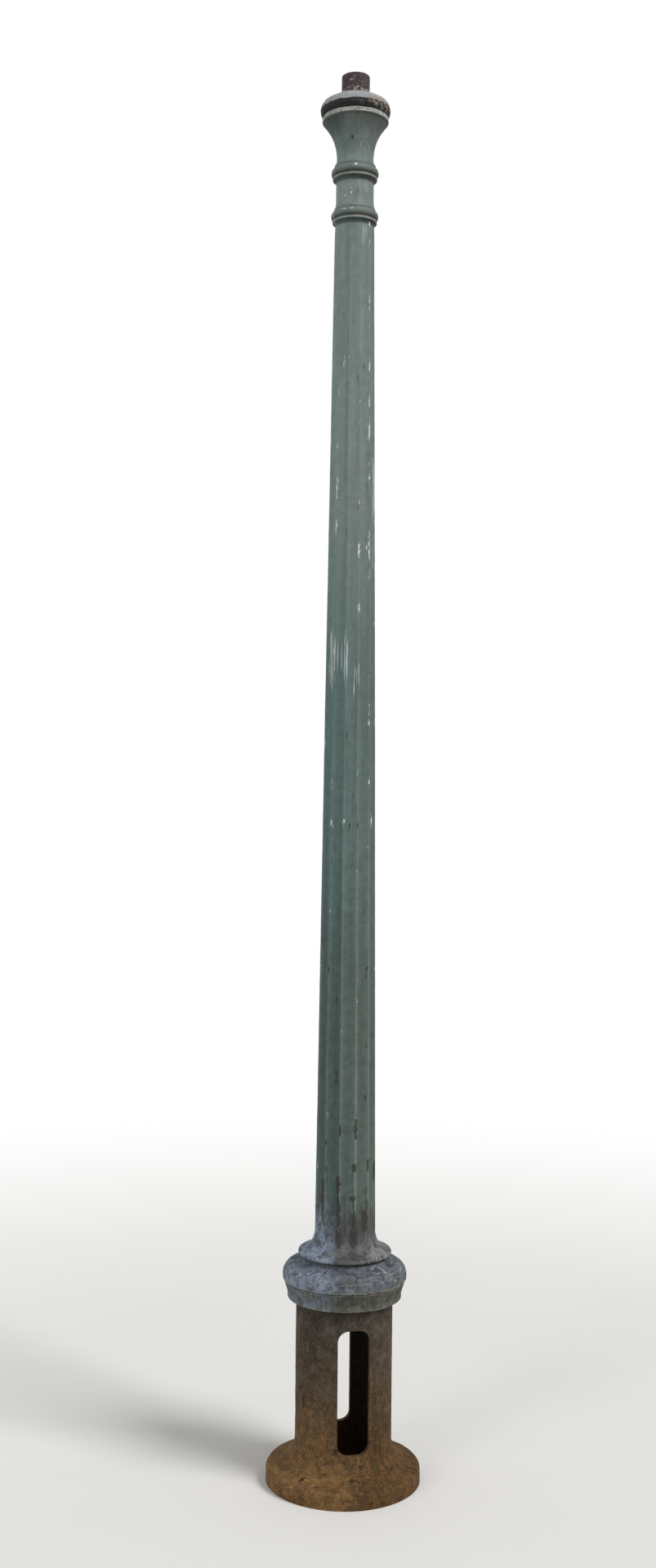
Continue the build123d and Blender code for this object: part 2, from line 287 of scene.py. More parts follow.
def under_shade(outline):
    """Painted shade from 0 to 1, as a point faces down or lies close under a wider part."""
    values = []
    for (radius, height), (_, up) in zip(outline, outward(outline)):
        over = (outline[:, 1] > height) & (outline[:, 1] < height + UNDER_SHADE_REACH)
        overhang = outline[over, 0].max(initial=radius) - radius
        values.append(min(overhang / UNDER_SHADE_DEPTH + UNDER_SHADE_BELOW * max(-up, 0), 1))
    return np.array(values)


def worn_edge(outline):
    """1 on sharp outward corners, where paint wears off, down to 0 on plain runs."""
    return np.clip(turns(outline) / WORN_TURN, 0, 1)


# Relief of old cast iron: the size of each feature and how deep it goes

PAINTED_SLACK = (70 * MM, 0.22 * MM)
PAINTED_GRAIN = (9 * MM, 0.07 * MM)
PAINTED_SUNK = 0.25 * MM        # the relief's middle lies this far below the casting's face
RUSTY_SLACK = (50 * MM, 0.50 * MM)
RUSTY_GRAIN = (8 * MM, 0.16 * MM)
RUSTY_SUNK = 0.45 * MM
PIT_SIZE = 11 * MM
PIT_DEPTH = 2.2 * MM
PIT_LEVEL = 0.42                # noise over this makes a pit
LAYER_FADE = 0.7                # how much weaker each finer layer of noise is
LAYER_GAP = 2.1                 # and how many times finer


def fractal(place, feature, octaves):
    """Layered noise of about one size, to about one depth up and down."""
    size, depth = feature
    return noise.fractal(place / size, LAYER_FADE, LAYER_GAP, octaves) * depth


def painted_relief(place):
    """Slack casting surface under paint, never proud of the casting."""
    slack = fractal(place, PAINTED_SLACK, 2)
    grain = fractal(place + Vector((3, 7, 1)), PAINTED_GRAIN, 2)
    return min(slack + grain - PAINTED_SUNK, 0)


def rusty_relief(place):
    """Scale and pits of bare iron that has stood in soil."""
    slack = fractal(place, RUSTY_SLACK, 3)
    grain = fractal(place + Vector((5, 2, 8)), RUSTY_GRAIN, 3)
    pit_field = noise.noise(place / PIT_SIZE + Vector((1, 9, 4)))
    pits = max(pit_field - PIT_LEVEL, 0) * PIT_DEPTH
    return min(slack + grain - pits - RUSTY_SUNK, 0)


# Skins

def add_object(name, data):
    """New object in the scene."""
    item = bpy.data.objects.new(name, data)
    bpy.context.scene.collection.objects.link(item)
    return item


def carry(mesh, name, values):
    """Gives the mesh a value at each vertex, for its material to read."""
    mesh.attributes.new(name, "FLOAT", "POINT").data.foreach_set("value", values)


def spun_skin(name, outline, columns, relief, lift=None, flat_z=0.0):
    """Closed mesh spun from an outline, lifted at the flutes and rough above flat_z."""
    normals = outward(outline)
    rows = len(outline)
    co = np.empty((rows * columns, 3))
    for column in range(columns):
        turn = ARRIS_TURN + column * tau / columns
        out = ray(turn)
        for row in range(rows):
            radius, height = outline[row]
            across, up = normals[row]
            if lift:
                radius += lift(turn, height, across)
            place = out * radius + Vector((0, 0, height))
            normal = out * across + Vector((0, 0, up))
            depth = 0 if height < flat_z else relief(place)
            co[row * columns + column] = place + normal * depth
    ring = np.arange(columns)
    next_ring = (ring + 1) % columns
    faces = []
    for row in range(rows):
        here = row * columns
        above = (row + 1) % rows * columns
        corners = (here + ring, here + next_ring, above + next_ring, above + ring)
        faces.append(np.column_stack(corners))
    mesh = bpy.data.meshes.new(name)
    mesh.from_pydata(co.tolist(), [], np.concatenate(faces).tolist())
    # The painted shade under overhangs and on faces that look down, for the materials to darken
    carry(mesh, "under_shade", np.repeat(under_shade(outline), columns))
    carry(mesh, "edge", np.repeat(worn_edge(outline), columns))
    mesh.shade_smooth()
    return add_object(name, mesh)


def slot_cutter():
    """Prism through both cable slots, with rounded corners."""
    corner_x = SLOT_W / 2 - SLOT_CORNER_R
    corners = [
        (corner_x, SLOT_TOP_Z - SLOT_CORNER_R),
        (-corner_x, SLOT_TOP_Z - SLOT_CORNER_R),
        (-corner_x, SLOT_LOW_Z + SLOT_CORNER_R),
        (corner_x, SLOT_LOW_Z + SLOT_CORNER_R),
    ]
    rim = []
    for quarter, (x, z) in enumerate(corners):
        for step in range(SLOT_CORNER_STEPS + 1):
            turn = (quarter + step / SLOT_CORNER_STEPS) * pi / 2
            rim.append((x + SLOT_CORNER_R * cos(turn), z + SLOT_CORNER_R * sin(turn)))
    count = len(rim)
    verts = [(x, side, z) for side in (-FLANGE_R, FLANGE_R) for x, z in rim]
    faces = [tuple(range(count)), tuple(reversed(range(count, 2 * count)))]
    for index in range(count):
        after = (index + 1) % count
        faces.append((after, index, count + index, count + after))
    mesh = bpy.data.meshes.new("slot_cutter")
    mesh.from_pydata(verts, [], faces)
    return add_object("slot_cutter", mesh)


def cut_slots(skin):
    """Cuts the two cable slots through the root's skin."""
    cutter = slot_cutter()
    cut = skin.modifiers.new("slots", "BOOLEAN")
    cut.operation = "DIFFERENCE"
    cut.solver = "EXACT"
    cut.object = cutter
    depsgraph = bpy.context.evaluated_depsgraph_get()
    mesh = bpy.data.meshes.new_from_object(skin.evaluated_get(depsgraph))
    skin.modifiers.clear()
    used_meshes = (skin.data, cutter.data)
    skin.data = mesh
    bpy.data.objects.remove(cutter)
    for used in used_meshes:
        bpy.data.meshes.remove(used)
    mesh.name = skin.name
    mesh.shade_smooth()
    mesh.set_sharp_from_angle(angle=SHARP_TURN)


def root_skin():
    """Flange, slotted tube and skirt."""
    def step_at(radius, height):
        in_skirt = SKIRT_INSIDE_Z[0] < height < SKIRT_INSIDE_Z[1]
        if radius < ROOT_INSIDE_R or (in_skirt and radius < SKIRT_INSIDE_R):
            return ROOT_INSIDE_STEP
        if height > SKIRT_Z - 10 * MM:
            return SKIRT_STEP
        return FLANGE_STEP if height < FLANGE_TOP_Z else TUBE_STEP

    outline = eased_outline(cut_outline("root_casting", CUT_TURN), step_at)
    skin = spun_skin("root_skin", outline, ROOT_COLUMNS, rusty_relief, flat_z=FOOT_FLAT_Z)
    cut_slots(skin)
    return skin


def fluted_side(points):
    """The outer points of an outline along the flutes, from the foot up."""
    side = points[outward(points)[:, 0] > FACES_OUT]
    side = side[(side[:, 1] > FLUTE_LOW_Z - 1 * MM) & (side[:, 1] < FLUTE_TOP_Z + 1 * MM)]
    return side[np.argsort(side[:, 1])]


def shaft_skin():
    """Tail, foot, flutes, beads and bell."""
    edge = fluted_side(cut_outline("shaft_casting", ARRIS_TURN))

    def step_at(radius, height):
        if height < SEAT_Z + 1 * MM or radius < np.interp(height, HIDDEN_Z, HIDDEN_R):
            return SHAFT_INSIDE_STEP
        if WORN_FLUTES_Z < height < FLUTE_TOP_Z - FLUTE_RUNOUT:
            return FLUTE_STEP
        if FLUTE_LOW_Z + FLUTE_RUNOUT < height < WORN_FLUTES_Z:
            return WORN_FLUTE_STEP
        return MOULDING_STEP

    outline = eased_outline(cut_outline("shaft_casting", ARRIS_TURN + pi / FLUTES), step_at)
    plain = fluted_side(outline)

    def lift(turn, height, across):
        if across < FACES_OUT or not FLUTE_LOW_Z < height < FLUTE_TOP_Z:
            return 0
        hollow = np.interp(height, plain[:, 1], plain[:, 0])
        crest = np.interp(height, edge[:, 1], edge[:, 0])
        share = ((turn - ARRIS_TURN) * FLUTES / tau) % 1 * 2 - 1
        return max(crest - hollow, 0) * share ** 2

    return spun_skin("shaft_skin", outline, COLUMNS_A_FLUTE * FLUTES, painted_relief, lift)


def cap_skin():
    """Rounded cap with its quirk and register."""
    outline = eased_outline(cut_outline("cap_ring", CUT_TURN), lambda radius, height: CAP_STEP)
    return spun_skin("cap_skin", outline, CAP_COLUMNS, rusty_relief)


def spigot_skin():
    """Open pipe with its turned shank."""
    def step_at(radius, height):
        return PIPE_STEP if height > CAP_TOP_Z - 5 * MM else SHANK_STEP

    outline = eased_outline(cut_outline("spigot", CUT_TURN), step_at)
    return spun_skin("spigot_skin", outline, PIPE_COLUMNS, rusty_relief)


# Materials

DULL_SPECULAR = 0.25
SEED_SHIFT = (7.3, 3.1, 5.7)    # how far one step of the seed moves a noise
# Outline of a carried mark: how much the mark and the grain count in it, and how soft it is
MARK_WEIGHT = 0.75
GRAIN_WEIGHT = 3.0
MARK_SOFT = 0.12


def srgb(red, green, blue):
    """Linear colour from 8-bit values as they show in a picture."""
    values = [channel / 255 for channel in (red, green, blue)]
    linear = [v / 12.92 if v <= 0.04045 else ((v + 0.055) / 1.055) ** 2.4 for v in values]
    return (*linear, 1)


class Material:
    """A node material, with short calls for the patterns that old iron needs."""

    def __init__(self, name):
        self.data = bpy.data.materials.new(name)
        self.data.use_nodes = True
        self.tree = self.data.node_tree
        self.shader = self.tree.nodes["Principled BSDF"]
        self.place = self.add("ShaderNodeTexCoord").outputs["Object"]
        self.z = self.add("ShaderNodeSeparateXYZ", Vector=self.place).outputs["Z"]

    def add(self, kind, **inputs):
        """New node, with values or links for its inputs."""
        node = self.tree.nodes.new(kind)
        for name, value in inputs.items():
            self.feed(node.inputs[name], value)
        return node

    def feed(self, socket, value):
        """Links a socket to another one, or sets its value."""
        if isinstance(value, bpy.types.NodeSocket):
            self.tree.links.new(value, socket)
        else:
            socket.default_value = value

    def math(self, operation, first, second=0.0):
        """Result of an operation on numbers."""
        node = self.tree.nodes.new("ShaderNodeMath")
        node.operation = operation
        self.feed(node.inputs[0], first)
        self.feed(node.inputs[1], second)
        return node.outputs[0]

    def vector(self, operation, first, second=(0, 0, 0), output="Vector"):
        """Result of an operation on vectors."""
        node = self.tree.nodes.new("ShaderNodeVectorMath")
        node.operation = operation
        self.feed(node.inputs[0], first)
        self.feed(node.inputs[1], second)
        return node.outputs[output]

    def rightward(self):
        """How far a place lies towards the column's right side, in metres from its axis."""
        return self.vector("DOT_PRODUCT", self.place, RIGHT_SIDE, "Value")

    def radius(self):
        """Distance from the axis."""
        flat = self.vector("MULTIPLY", self.place, (1, 1, 0))
        return self.vector("LENGTH", flat, output="Value")

    def worn(self, name):
        """A value that the skin carries at its vertices."""
        node = self.tree.nodes.new("ShaderNodeAttribute")
        node.attribute_name = name
        return node.outputs["Fac"]

    def cloud(self, size, detail=4.0, roughness=0.6, up=1.0, seed=0.0):
        """Noise from 0 to 1, with features of about this size in metres, and up times as tall."""
        scale = (1 / size, 1 / size, 1 / (size * up))
        scaled = self.add("ShaderNodeMapping", Vector=self.place, Scale=scale).outputs["Vector"]
        shifted = self.vector("ADD", scaled, [seed * shift for shift in SEED_SHIFT])
        node = self.add(
            "ShaderNodeTexNoise", Vector=shifted, Scale=1.0, Detail=detail, Roughness=roughness
        )
        return node.outputs["Fac"]

    def step(self, value, low, high):
        """0 below low, 1 above high, and smooth between. Low above high turns it round."""
        node = self.tree.nodes.new("ShaderNodeMapRange")
        node.interpolation_type = "SMOOTHSTEP"
        self.feed(node.inputs["Value"], value)
        limits = (low, high, 0.0, 1.0) if low < high else (high, low, 1.0, 0.0)
        for name, limit in zip(("From Min", "From Max", "To Min", "To Max"), limits):
            node.inputs[name].default_value = limit
        return node.outputs["Result"]

    def height_step(self, start, end):
        """0 to 1 from one height to another, upwards or downwards."""
        return self.step(self.z, start, end)

    def side_step(self, start, end):
        """0 to 1 across the column, between two distances to the right, or left below 0."""
        return self.step(self.rightward(), start, end)

    def overlap(self, *shares):
        """The shares times each other, so 1 only where all of them are 1."""
        product = shares[0]
        for share in shares[1:]:
            product = self.math("MULTIPLY", product, share)
        return product

    def either(self, first, second):
        """The larger of two shares."""
        return self.math("MAXIMUM", first, second)

    def added(self, first, second, weight):
        """The first value plus the second times a weight."""
        return self.math("ADD", first, self.math("MULTIPLY", second, weight))

    def band(self, value, low, high, soft):
        """1 between low and high."""
        rise = self.step(value, low - soft, low + soft)
        return self.overlap(rise, self.step(value, high + soft, high - soft))

    def between(self, low, high, share):
        """A number that goes from low to high with a share."""
        node = self.tree.nodes.new("ShaderNodeMix")
        node.data_type = "FLOAT"
        self.feed(node.inputs["Factor"], share)
        self.feed(node.inputs[2], low)
        self.feed(node.inputs[3], high)
        return node.outputs[0]

    def blend(self, below, above, share, mode="MIX"):
        """One colour over another, as far as the share goes."""
        node = self.tree.nodes.new("ShaderNodeMix")
        node.data_type = "RGBA"
        node.blend_type = mode
        self.feed(node.inputs["Factor"], share)
        self.feed(node.inputs[6], below)
        self.feed(node.inputs[7], above)
        return node.outputs[2]

    def tinted(self, color, tint, share):
        """The colour times a tint, as far as the share goes."""
        return self.blend(color, tint, share, "MULTIPLY")

    def varied(self, color, share, low, high):
        """The colour times low where the share is 0 and times high where it is 1."""
        node = self.tree.nodes.new("ShaderNodeVectorMath")
        node.operation = "SCALE"
        self.feed(node.inputs[0], color[:3] if isinstance(color, tuple) else color)
        self.feed(node.inputs["Scale"], self.between(low, high, share))
        return node.outputs["Vector"]

    def by_height(self, color, *changes):
        """Colour that changes to another one between two heights, once or more up the column."""
        for low, high, above in changes:
            color = self.blend(color, above, self.height_step(low, high))
        return color

    def ragged(self, name, size, up, seed, level=0.4):
        """Marks that the skin carries, with their outlines broken up. A low level spreads them."""
        mark = self.worn(name)
        grain = self.math("SUBTRACT", self.cloud(size, detail=5, up=up, seed=seed), 0.5)
        torn = self.added(self.math("MULTIPLY", mark, MARK_WEIGHT), grain, GRAIN_WEIGHT)
        outline = self.step(torn, level, level + MARK_SOFT)
        return self.overlap(outline, self.step(mark, 0.0, MARK_SOFT))

    def bump(self, height, depth, under=None):
        """Normal from a height of 0 to 1, this deep in metres, over another normal."""
        node = self.add("ShaderNodeBump", Height=height, Distance=depth)
        if under:
            self.feed(node.inputs["Normal"], under)
        return node.outputs["Normal"]

    def finish(self, color, roughness, normal):
        """The material itself, with its shader fed."""
        self.shader.inputs["Specular IOR Level"].default_value = DULL_SPECULAR
        self.feed(self.shader.inputs["Base Color"], color)
        self.feed(self.shader.inputs["Roughness"], roughness)
        self.feed(self.shader.inputs["Normal"], normal)
        return self.data


# Paint of the shaft

WASH_COLOR = srgb(144, 162, 184)
WASH_FADE = 0.13                # the wash thins out over this height
FOOT_WASH_Z = 0.73
SKIRT_WASH_Z = 0.60


def chalky_wash(m, top_z):
    """Share of pale wash that ran down the column's left side over foot and skirt."""
    patches = m.step(m.cloud(0.028, detail=7, roughness=0.75, seed=51), 0.36, 0.56)
    runs = m.between(0.35, 1.0, m.step(m.cloud(0.007, detail=4, up=8, seed=52), 0.35, 0.6))
    left = m.side_step(-0.005, -0.06)
    return m.overlap(left, m.height_step(top_z, top_z - WASH_FADE), patches, runs)


def flute_paint(m, mottle):
    """Streaky grey-green paint, painted light and shade on sides and flutes, and a painted
    highlight on worn edges.
    """
    color = m.by_height(
        srgb(80, 93, 88), (1.18, 1.50, srgb(86, 103, 99)), (1.82, 2.45, srgb(105, 117, 113))
    )
    tone = m.step(m.cloud(0.16, up=3.0, seed=1), 0.25, 0.75)
    color = m.varied(color, tone, 0.92, 1.08)
    streak = m.step(m.cloud(0.012, detail=3, up=30, seed=2), 0.25, 0.75)
    color = m.varied(color, streak, 1.1, 0.9)
    low = m.height_step(1.9, 1.4)
    lighter = m.between(1.08, 1.13, low)
    darker = m.between(0.9, 0.83, low)
    color = m.varied(color, m.step(mottle, 0.3, 0.7), lighter, darker)

    # Painted skylight: the left side lighter and bluer, most of all high up
    left_painted_light = m.blend((0.99, 1.13, 1.18, 1), (1.16, 1.24, 1.24, 1), m.height_step(1.9, 2.5))
    color = m.tinted(color, left_painted_light, m.side_step(0.0, -0.045))
    # Painted shade: the right side darker and browner, most of all high up
    right_painted_shade = m.blend((0.98, 0.91, 0.89, 1), (0.86, 0.79, 0.79, 1), m.height_step(1.2, 1.6))
    color = m.tinted(color, right_painted_shade, m.side_step(0.01, 0.055))
    # Painted shade: the left side darker low down
    low_left_shade = m.overlap(m.side_step(0.02, -0.05), m.height_step(2.0, 1.3))
    color = m.varied(color, low_left_shade, 1.0, 0.832)

    # Painted shade in the flutes' hollows and painted light on their edges, strongest low down
    deep_flutes = m.height_step(2.3, 0.9)
    hollow = m.step(m.worn("arris"), 0.95, 0.25)
    color = m.varied(color, m.overlap(hollow, deep_flutes), 1.06, 0.86)
    # Flute edges worn pale with a painted highlight, strongest low down
    arris = m.step(m.worn("arris"), 0.86, 0.97)
    arris_share = m.between(0.1, 0.4, deep_flutes)
    color = m.blend(color, srgb(128, 140, 130), m.overlap(arris, arris_share))
    dark_specks = m.step(m.cloud(0.004, detail=2, seed=4), 0.66, 0.72)
    return m.blend(color, srgb(58, 52, 46), m.overlap(dark_specks, 0.6))


def dirty_foot(m, color):
    """The paint with grey dirt, bare runs and chalky wash over its foot."""
    rough = m.cloud(0.022, detail=7, roughness=0.75, seed=5)
    speck = m.cloud(0.0035, detail=3, roughness=0.6, seed=60)
    dirt = m.blend(srgb(92, 92, 93), srgb(58, 58, 58), m.step(rough, 0.40, 0.62))
    dirt = m.varied(dirt, m.step(speck, 0.4, 0.64), 1.12, 0.8)
    color = m.blend(color, dirt, m.overlap(m.height_step(0.70, 0.60), m.step(rough, 0.2, 0.4)))

    bare_field = m.cloud(0.011, detail=6, roughness=0.7, up=5, seed=9)
    bare_runs = m.step(m.added(bare_field, m.height_step(0.80, 0.62), 0.22), 0.62, 0.69)
    bare_share = m.overlap(bare_runs, m.height_step(0.59, 0.61), 0.85)
    color = m.blend(color, srgb(60, 61, 59), bare_share)
    # Painted light on the foot's right side: its edge lighter, and pale patches on its flare
    right_edge_light = m.overlap(m.side_step(0.045, 0.065), m.height_step(0.74, 0.66))
    color = m.varied(color, right_edge_light, 1.0, 1.2)
    right_flare_light = m.overlap(m.side_step(0.03, 0.08), m.height_step(0.592, 0.578))
    flare_share = m.overlap(right_flare_light, m.step(rough, 0.55, 0.45))
    color = m.blend(color, srgb(120, 120, 118), flare_share)
    return m.blend(color, WASH_COLOR, m.overlap(chalky_wash(m, FOOT_WASH_Z), 0.85))


def shaded_head(m, color):
    """The paint with painted shade on the beads, under overhangs and under the bell's lip, and a
    paler neck.
    """
    # Painted shade over each bead's roll
    for _, fillet_top_z in BEAD_FILLETS_Z:
        bead = m.band(m.z, fillet_top_z, fillet_top_z + 30 * MM, 4 * MM)
        color = m.varied(color, bead, 1.0, 0.8)
    # Painted shade under overhangs and on faces that look down, lighter on the bell's upper part
    # and darker there on the left
    bell_low = m.height_step(LIP_LOW_Z - 66 * MM, LIP_LOW_Z - 46 * MM)
    bell_top = m.height_step(LIP_LOW_Z, LIP_LOW_Z - 8 * MM)
    bell_darkest_shade = m.between(0.36, 0.71, m.side_step(-0.05, -0.01))
    darkest_under_shade = m.between(0.30, bell_darkest_shade, m.overlap(bell_low, bell_top))
    color = m.varied(color, m.worn("under_shade"), 1.0, darkest_under_shade)
    neck = m.band(m.z, LISTEL_EDGE_Z + 4 * MM, BEAD_FILLETS_Z[1][0] - 4 * MM, 3 * MM)
    color = m.tinted(color, (1.15, 1.09, 1.09, 1), neck)
    # Painted shade, darker and warmer, under the bell's lip
    shade_under_lip = m.height_step(LIP_LOW_Z - 34 * MM, LIP_LOW_Z - 6 * MM)
    return m.tinted(color, (0.85, 0.79, 0.77, 1), shade_under_lip)


def rubbed_head(m, color, mottle):
    """Fillets of worn paint and painted highlight, a pale lip, and painted shade in the grooves
    above them.
    """
    # Pale worn paint with a painted highlight on outward edges, the fillets and the listel
    above_flutes = m.height_step(FLUTE_TOP_Z - 2 * MM, FLUTE_TOP_Z)
    below_lip = m.height_step(LIP_LOW_Z, LIP_LOW_Z - 1 * MM)
    pale = m.overlap(m.worn("edge"), above_flutes, below_lip)
    for low_z, top_z in BEAD_FILLETS_Z:
        pale = m.either(pale, m.band(m.z, low_z, top_z, 0.6 * MM))
        # Painted shade in the groove above each fillet and on the roll's lower side
        groove_low = m.height_step(top_z + 0.2 * MM, top_z + 0.7 * MM)
        groove_top = m.height_step(top_z + 14 * MM, top_z + 1 * MM)
        color = m.varied(color, m.overlap(groove_low, groove_top), 1.0, 0.34)
    listel = m.band(m.z, LISTEL_EDGE_Z - 2 * MM, LISTEL_EDGE_Z + 2 * MM, 0.5 * MM)
    pale = m.either(pale, m.overlap(listel, m.step(mottle, 0.42, 0.5)))
    rubbed = m.between(0.35, 0.9, m.step(mottle, 0.4, 0.6))
    color = m.blend(color, srgb(138, 142, 132), m.overlap(pale, rubbed))

    lip = m.band(m.z, LIP_LOW_Z, LIP_TOP_Z, 0.6 * MM)
    lip_patches = m.step(m.cloud(0.007, detail=5, seed=10), 0.61, 0.56)
    lip_color = m.varied(srgb(160, 163, 156), m.step(mottle, 0.35, 0.62), 1.05, 0.78)
    return m.blend(color, lip_color, m.overlap(lip, lip_patches))


def scuffed(m, color):
    """The paint with fine pale lines where the skin carries a scuff."""
    scuff = m.worn("scuff")
    lines = m.added(m.cloud(0.0038, detail=2, up=30, seed=61), scuff, 0.12)
    strength = m.between(0.85, 0.28, m.height_step(2.9, 3.0))
    share = m.overlap(m.step(lines, 0.62, 0.65), m.step(scuff, 0.0, 0.2), strength)
    return m.blend(color, srgb(176, 185, 186), share)


def paint_material():
    """Weathered grey-green paint, darker and greener low down, chipped along the flute edges."""
    m = Material("grey_green_paint")
    mottle = m.cloud(0.02, detail=6, roughness=0.7, seed=3)
    color = dirty_foot(m, flute_paint(m, mottle))
    color = rubbed_head(m, shaded_head(m, color), mottle)
    white = m.ragged("chip", 0.0025, up=5, seed=6)
    rust = m.ragged("rust", 0.007, up=2, seed=7, level=0.1)
    color = m.blend(scuffed(m, color), srgb(206, 211, 210), white)
    color = m.blend(color, srgb(47, 46, 43), m.overlap(rust, 0.86))
    roughness = m.between(0.6, 0.82, mottle)
    normal = m.bump(m.cloud(0.0035, detail=3, seed=8), 0.25 * MM)
    normal = m.bump(m.either(white, rust), -0.35 * MM, normal)
    return m.finish(color, roughness, normal)


# Rust and old paint of root, cap and spigot

def root_rust(m, fine, speck, grey):
    """Rust of flange and tube: orange at the bottom, grey-brown and patchy higher up."""
    color = m.by_height(
        srgb(106, 80, 47), (0.02, 0.24, srgb(75, 60, 42)), (0.22, 0.42, srgb(60, 52, 44))
    )
    side_light = m.between(1.16, 0.52, m.side_step(-0.10, 0.10))
    color = m.varied(color, m.height_step(0.40, 0.10), 1.0, side_light)
    # Painted shade: the flange darker at its right front
    flange_right_shade = m.overlap(m.band(m.rightward(), 0.03, 0.07, 0.02), m.height_step(0.09, 0.05))
    color = m.varied(color, flange_right_shade, 1.0, 0.82)
    orange = m.overlap(m.side_step(0.03, 0.07), m.height_step(0.30, 0.16))
    color = m.tinted(color, (1.02, 0.94, 0.72, 1), orange)
    large = m.cloud(0.09, detail=3, up=1.6, seed=24)
    color = m.varied(color, m.step(large, 0.36, 0.64), 1.02, 0.78)
    drips = m.step(m.cloud(0.014, detail=4, up=7, seed=25), 0.5, 0.6)
    drip_share = m.overlap(drips, m.height_step(0.30, 0.16), 0.34)
    color = m.blend(color, srgb(114, 77, 38), drip_share)
    broad = m.cloud(0.05, detail=7, roughness=0.7, seed=11)
    color = m.blend(color, srgb(62, 44, 29), m.overlap(m.step(broad, 0.5, 0.68), 0.6))
    color = m.varied(color, m.step(broad, 0.5, 0.28), 1.0, 1.28)
    patch = m.cloud(0.017, detail=6, roughness=0.75, seed=19)
    color = m.varied(color, m.step(patch, 0.34, 0.66), 1.35, 0.72)
    color = m.varied(color, m.step(fine, 0.42, 0.68), 1.12, 0.60)
    color = m.varied(color, m.step(speck, 0.38, 0.64), 1.24, 0.74)
    grey_share = m.overlap(m.step(grey, 0.5, 0.64), m.height_step(0.10, 0.3), 0.6)
    color = m.blend(color, srgb(84, 79, 70), grey_share)
    crust = m.step(m.cloud(0.012, detail=4, up=2, seed=16), 0.62, 0.68)
    return m.blend(color, srgb(112, 92, 62), m.overlap(crust, 0.5))


def curling_scrapes(m):
    """Thin curling lines, where something scratched or ran over the paint."""
    field = m.cloud(0.034, detail=2.0, roughness=0.4, seed=17)
    line = m.step(m.math("ABSOLUTE", m.math("SUBTRACT", field, 0.5)), 0.016, 0.006)
    return m.overlap(line, m.step(m.cloud(0.051, detail=3, seed=18), 0.47, 0.55))


def skirt_paint(m, fine, speck, grey):
    """Old paint, blue-grey on the skirt's roll and olive below, with curls and chalky wash."""
    marble = m.cloud(0.022, detail=7, roughness=0.75, seed=14)
    olive_color = m.blend(srgb(96, 97, 89), srgb(69, 69, 62), m.step(marble, 0.4, 0.62))
    roll_color = m.blend(srgb(96, 100, 109), srgb(55, 57, 63), m.step(marble, 0.40, 0.64))
    roll = m.height_step(SKIRT_ROLL_Z - 6 * MM, SKIRT_ROLL_Z + 4 * MM)
    color = m.blend(olive_color, roll_color, roll)
    color = m.varied(color, m.step(fine, 0.4, 0.7), 1.08, 0.75)
    color = m.varied(color, m.step(speck, 0.4, 0.64), 1.1, 0.82)
    above_hollow = m.height_step(HOLLOW_TOP_Z, HOLLOW_TOP_Z + 4 * MM)
    both_sides = m.step(m.math("ABSOLUTE", m.rightward()), 0.04, 0.09)
    curl_share = m.overlap(above_hollow, m.between(0.35, 0.9, both_sides))
    color = m.blend(color, srgb(162, 170, 173), m.overlap(curling_scrapes(m), curl_share))
    wash = m.overlap(chalky_wash(m, SKIRT_WASH_Z), m.between(0.45, 0.85, above_hollow))
    color = m.blend(color, WASH_COLOR, wash)
    rubbed = m.worn("edge")
    for height in (HOLLOW_TOP_Z - 1 * MM, HOLLOW_TOP_Z + 5 * MM):
        line = m.band(m.z, height - 1 * MM, height + 1 * MM, 0.5 * MM)
        rubbed = m.either(rubbed, line)
    rubbed_share = m.overlap(rubbed, m.step(grey, 0.40, 0.54), 0.8)
    return m.blend(color, srgb(146, 146, 130), rubbed_share)


def root_material():
    """Bare rusted iron on flange and tube, old paint and chalky wash on the skirt."""
    m = Material("rusted_iron")
    fine = m.cloud(0.007, detail=5, roughness=0.7, seed=12)
    speck = m.cloud(0.0032, detail=3, roughness=0.6, seed=20)
    grey = m.cloud(0.035, detail=6, roughness=0.65, seed=13)
    skirt = m.height_step(SKIRT_Z - 1 * MM, SKIRT_Z + 1 * MM)
    color = m.blend(root_rust(m, fine, speck, grey), skirt_paint(m, fine, speck, grey), skirt)
    # Painted shade under overhangs, on faces that look down and under the skirt
    color = m.varied(color, m.worn("under_shade"), 1.0, 0.55)
    shade_under_skirt = m.band(m.z, SKIRT_Z - 30 * MM, SKIRT_Z, 12 * MM)
    color = m.varied(color, shade_under_skirt, 1.0, 0.85)
    pits = m.ragged("rust", 0.008, up=1, seed=18, level=0.2)
    color = m.blend(color, srgb(36, 28, 22), m.overlap(pits, 0.85))
    roughness = m.between(0.75, 0.95, fine)
    normal = m.bump(fine, 0.5 * MM)
    normal = m.bump(m.cloud(0.0025, detail=3, seed=15), 0.2 * MM, normal)
    normal = m.bump(pits, -0.8 * MM, normal)
    return m.finish(color, roughness, normal)


